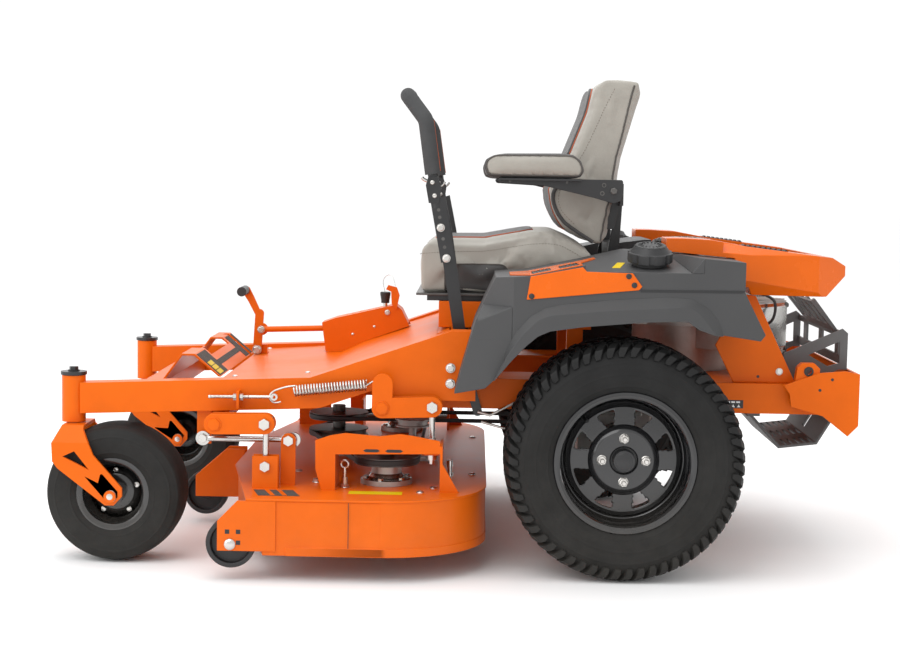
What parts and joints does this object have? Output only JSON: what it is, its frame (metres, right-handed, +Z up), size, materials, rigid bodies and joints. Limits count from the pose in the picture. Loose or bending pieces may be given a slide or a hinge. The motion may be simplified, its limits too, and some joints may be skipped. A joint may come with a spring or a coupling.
{
  "type": "zero turn mower",
  "caption": "Ride-on zero turn mower: twin steering levers, mid-mounted side-discharge deck on a lift linkage, rear engine, high-back seat.",
  "frame": {"origin": "on the ground under the middle of the overall length and width", "axes": "+X forward, +Y to the operator's left, +Z up"},
  "size_m": [1.94, 1.635, 1.173],
  "materials": {
    "frame_paint": "gloss orange powder coat",
    "black_paint": "satin black powder coat",
    "floor_plate": "textured charcoal",
    "grey_paint": "satin grey",
    "moulded_plastic": "grained charcoal",
    "lever_steel": "black with foam grips",
    "rim_paint": "gloss black",
    "tyre_rubber": "black rubber",
    "roller_plastic": "black",
    "chute_rubber": "black moulded",
    "belt_rubber": "black",
    "cast_aluminium": "as cast",
    "bare_steel": "zinc plated",
    "blade_steel": "ground steel",
    "muffler_steel": "heat-dulled",
    "seat_vinyl": "taupe vinyl with orange piping",
    "pad_foam": "soft black skin"
  },
  "bodies": {
    "chassis": {"frame_rail_left": "frame_paint", "frame_rail_right": "frame_paint", "frame_crossmembers": "frame_paint", "floor_pan": "frame_paint", "footrest_plate": "floor_plate", "seat_platform": "frame_paint", "fender_left": "moulded_plastic", "fender_right": "moulded_plastic", "fender_panels": "frame_paint", "fuel_caps": "moulded_plastic", "engine_hood": "frame_paint", "rear_bumper": "frame_paint", "engine_guard": "grey_paint", "rear_step": "grey_paint", "engine_block": "cast_aluminium", "muffler": "muffler_steel", "hydro_transaxles": "cast_aluminium", "height_selector": "frame_paint", "drive_belt": "belt_rubber", "lift_springs": "bare_steel"},
    "seat": {"seat_pan": "black_paint", "seat_cushion": "seat_vinyl", "seat_back": "seat_vinyl"},
    "armrest_left": {"armrest_left": "pad_foam"},
    "armrest_right": {"armrest_right": "pad_foam"},
    "lever_base_left": {"lever_base_left": "black_paint"},
    "lever_base_right": {"lever_base_right": "black_paint"},
    "lever_arm_left": {"lever_arm_left": "lever_steel"},
    "lever_arm_right": {"lever_arm_right": "lever_steel"},
    "rear_wheel_left": {"rear_tyre_left": "tyre_rubber", "rear_rim_left": "rim_paint"},
    "rear_wheel_right": {"rear_tyre_right": "tyre_rubber", "rear_rim_right": "rim_paint"},
    "caster_left": {"caster_fork_left": "frame_paint"},
    "caster_right": {"caster_fork_right": "frame_paint"},
    "caster_wheel_left": {"caster_tyre_left": "tyre_rubber", "caster_rim_left": "rim_paint"},
    "caster_wheel_right": {"caster_tyre_right": "tyre_rubber", "caster_rim_right": "rim_paint"},
    "deck": {"deck_shell": "frame_paint", "deck_brackets": "frame_paint", "hanger_rods": "bare_steel", "spindle_housings": "cast_aluminium", "deck_belt": "belt_rubber"},
    "spindle_left": {"spindle_left": "bare_steel", "blade_left": "blade_steel"},
    "spindle_centre": {"spindle_centre": "bare_steel", "blade_centre": "blade_steel"},
    "spindle_right": {"spindle_right": "bare_steel", "blade_right": "blade_steel"},
    "scalp_left": {"scalp_wheel_left": "roller_plastic"},
    "scalp_right": {"scalp_wheel_right": "roller_plastic"},
    "scalp_centre": {"scalp_wheel_centre": "roller_plastic"},
    "chute": {"discharge_chute": "chute_rubber"},
    "front_rockshaft": {"front_rockshaft": "frame_paint"},
    "rear_rockshaft": {"rear_rockshaft": "frame_paint"},
    "stabilizer_links": {"stabilizer_links": "bare_steel"},
    "lift_pedal": {"lift_pedal": "frame_paint"},
    "pedal_link": {"pedal_link": "bare_steel"},
    "crankshaft": {"crankshaft_group": "bare_steel"}
  },
  "joints": [
    {"name": "deck_lift", "type": "slide", "parent": "chassis", "child": "deck", "axis": [0, 0, 1], "range_m": [0, 0.06], "deforming": ["lift_springs", "drive_belt"]},
    {"name": "front_rockshaft_turn", "type": "hinge", "parent": "chassis", "child": "front_rockshaft", "pos_m": [0.561, 0.1425, 0.341], "axis": [0, 1, 0], "range_deg": [0, 31]},
    {"name": "rear_rockshaft_turn", "type": "hinge", "parent": "chassis", "child": "rear_rockshaft", "pos_m": [0.171, 0.1425, 0.382], "axis": [0, 1, 0], "range_deg": [0, 31]},
    {"name": "stabilizer_turn", "type": "hinge", "parent": "chassis", "child": "stabilizer_links", "pos_m": [0.597, 0.1425, 0.298], "axis": [0, 1, 0], "range_deg": [0, 17]},
    {"name": "pedal_turn", "type": "hinge", "parent": "chassis", "child": "lift_pedal", "pos_m": [0.564, -0.1075, 0.438], "axis": [0, 1, 0], "range_deg": [0, 26]},
    {"name": "pedal_link_slide", "type": "slide", "parent": "chassis", "child": "pedal_link", "axis": [1, 0, 0], "range_m": [0, 0.0275]},
    {"name": "rear_wheel_left_roll", "type": "hinge", "parent": "chassis", "child": "rear_wheel_left", "pos_m": [-0.393, 0.6515, 0.2795], "axis": [0, 1, 0], "continuous": true},
    {"name": "caster_left_swivel", "type": "hinge", "parent": "chassis", "child": "caster_left", "pos_m": [0.912, 0.5865, 0.38], "axis": [0, 0, 1], "continuous": true},
    {"name": "caster_left_roll", "type": "hinge", "parent": "caster_left", "child": "caster_wheel_left", "pos_m": [0.805, 0.5865, 0.165], "axis": [0, 1, 0], "continuous": true},
    {"name": "lever_left_drive", "type": "hinge", "parent": "chassis", "child": "lever_base_left", "pos_m": [-0.021, 0.4825, 0.47], "axis": [0, 1, 0], "range_deg": [-10, 15], "stiffness_Nm_per_rad": 60},
    {"name": "lever_left_swing", "type": "hinge", "parent": "lever_base_left", "child": "lever_arm_left", "pos_m": [-0.011, 0.4825, 0.53], "axis": [-1, 0, 0], "range_deg": [0, 25]},
    {"name": "armrest_left_fold", "type": "hinge", "parent": "seat", "child": "armrest_left", "pos_m": [-0.377, 0.4225, 0.898], "axis": [0, -1, 0], "range_deg": [0, 85]},
    {"name": "rear_wheel_right_roll", "type": "hinge", "parent": "chassis", "child": "rear_wheel_right", "pos_m": [-0.393, -0.3665, 0.2795], "axis": [0, 1, 0], "continuous": true},
    {"name": "caster_right_swivel", "type": "hinge", "parent": "chassis", "child": "caster_right", "pos_m": [0.912, -0.3015, 0.38], "axis": [0, 0, 1], "continuous": true},
    {"name": "caster_right_roll", "type": "hinge", "parent": "caster_right", "child": "caster_wheel_right", "pos_m": [0.805, -0.3015, 0.165], "axis": [0, 1, 0], "continuous": true},
    {"name": "lever_right_drive", "type": "hinge", "parent": "chassis", "child": "lever_base_right", "pos_m": [-0.021, -0.1975, 0.47], "axis": [0, 1, 0], "range_deg": [-10, 15], "stiffness_Nm_per_rad": 60},
    {"name": "lever_right_swing", "type": "hinge", "parent": "lever_base_right", "child": "lever_arm_right", "pos_m": [-0.011, -0.1975, 0.53], "axis": [1, 0, 0], "range_deg": [0, 25]},
    {"name": "armrest_right_fold", "type": "hinge", "parent": "seat", "child": "armrest_right", "pos_m": [-0.377, -0.1375, 0.898], "axis": [0, -1, 0], "range_deg": [0, 85]},
    {"name": "seat_adjust", "type": "slide", "parent": "chassis", "child": "seat", "axis": [1, 0, 0], "range_m": [-0.015, 0.045]},
    {"name": "spindle_centre_spin", "type": "hinge", "parent": "deck", "child": "spindle_centre", "pos_m": [0.312, 0.1425, 0.16], "axis": [0, 0, 1], "continuous": true},
    {"name": "spindle_left_spin", "type": "hinge", "parent": "deck", "child": "spindle_left", "pos_m": [0.162, 0.5775, 0.16], "axis": [0, 0, 1], "continuous": true},
    {"name": "spindle_right_spin", "type": "hinge", "parent": "deck", "child": "spindle_right", "pos_m": [0.162, -0.2925, 0.16], "axis": [0, 0, 1], "continuous": true},
    {"name": "scalp_left_roll", "type": "hinge", "parent": "deck", "child": "scalp_left", "pos_m": [0.503, 0.7855, 0.087], "axis": [0, 1, 0], "continuous": true},
    {"name": "scalp_right_roll", "type": "hinge", "parent": "deck", "child": "scalp_right", "pos_m": [0.503, -0.5005, 0.087], "axis": [0, 1, 0], "continuous": true},
    {"name": "scalp_centre_roll", "type": "hinge", "parent": "deck", "child": "scalp_centre", "pos_m": [0.663, 0.1425, 0.08], "axis": [0, 1, 0], "continuous": true},
    {"name": "chute_fold", "type": "hinge", "parent": "deck", "child": "chute", "pos_m": [0.197, -0.5455, 0.196], "axis": [-1, 0, 0], "range_deg": [0, 80]},
    {"name": "crankshaft_spin", "type": "hinge", "parent": "chassis", "child": "crankshaft", "pos_m": [-0.589, 0.1425, 0.5], "axis": [0, 0, 1], "continuous": true}
  ],
  "couplings": [
    {"joint": "front_rockshaft_turn", "follows": "deck_lift", "rad_per_m": 8.6},
    {"joint": "rear_rockshaft_turn", "follows": "deck_lift", "rad_per_m": 8.6},
    {"joint": "stabilizer_turn", "follows": "deck_lift", "rad_per_m": 4.78},
    {"joint": "pedal_turn", "follows": "deck_lift", "rad_per_m": 7.4},
    {"joint": "pedal_link_slide", "follows": "deck_lift", "ratio": 0.444},
    {"joint": "spindle_left_spin", "follows": "spindle_centre_spin", "ratio": 1},
    {"joint": "spindle_right_spin", "follows": "spindle_centre_spin", "ratio": 1}
  ]
}
